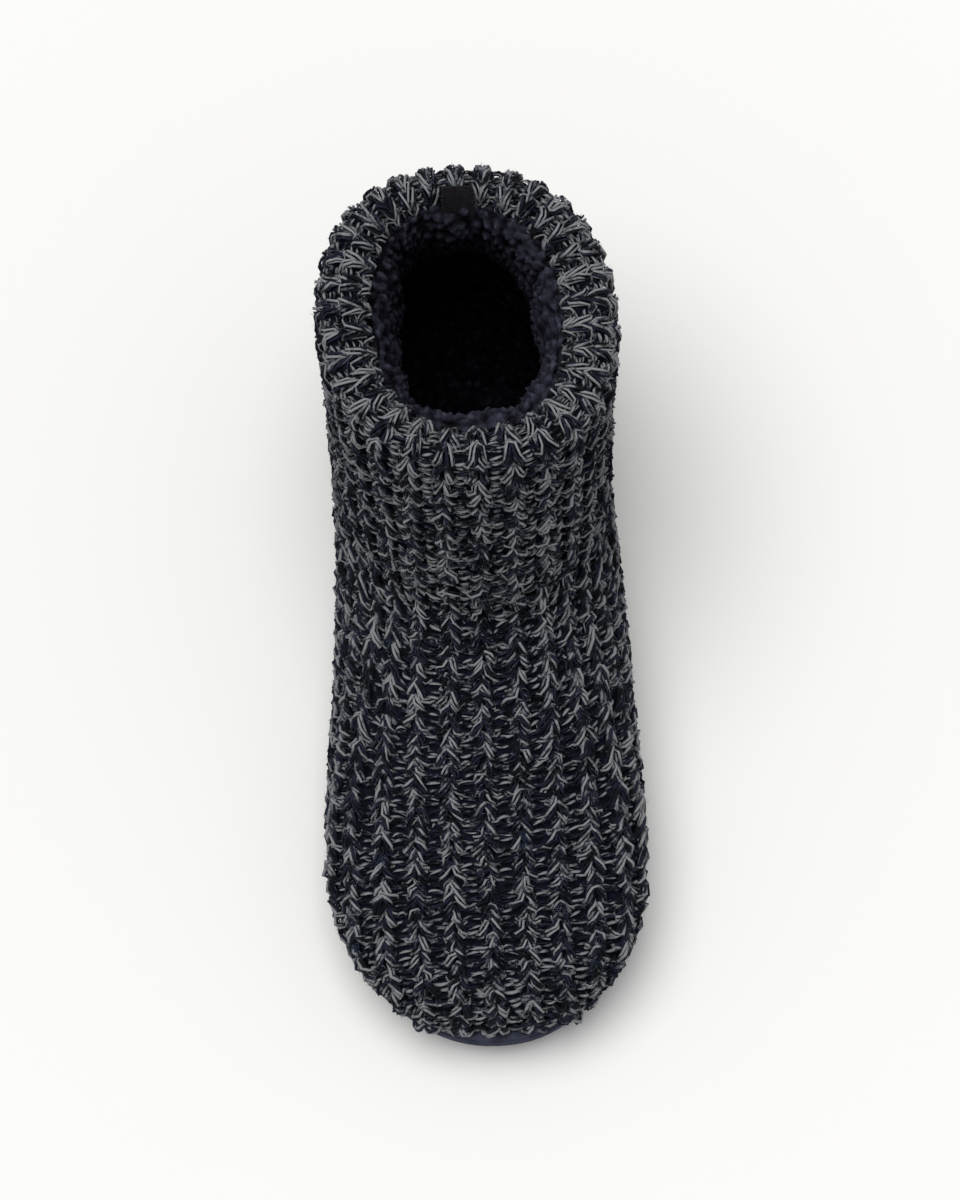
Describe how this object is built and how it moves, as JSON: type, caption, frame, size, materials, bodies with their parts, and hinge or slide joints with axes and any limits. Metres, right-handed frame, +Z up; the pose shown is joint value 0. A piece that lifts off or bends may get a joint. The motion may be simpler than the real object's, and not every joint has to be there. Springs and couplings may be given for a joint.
{
  "type": "bootie slipper",
  "caption": "Ankle-high knitted bootie slipper for a left foot, with a thick rolled collar, a pile lining, a soft flat sole and a small pull loop inside the back",
  "frame": {"origin": "centre of the shoe's box at the floor", "axes": "toe along -Y, heel along +Y, lateral side at +X, up along +Z"},
  "size_m": [0.109, 0.2798, 0.1463],
  "materials": {
    "marled_knit": "chunky marled knit",
    "dark_suede": "felted suede over foam",
    "navy_pile": "curly pile",
    "black_tape": "woven ribbon"
  },
  "bodies": {
    "root": {"upper": "marled_knit", "sole": "dark_suede", "insole": "navy_pile", "pull_loop": "black_tape"}
  },
  "joints": []
}
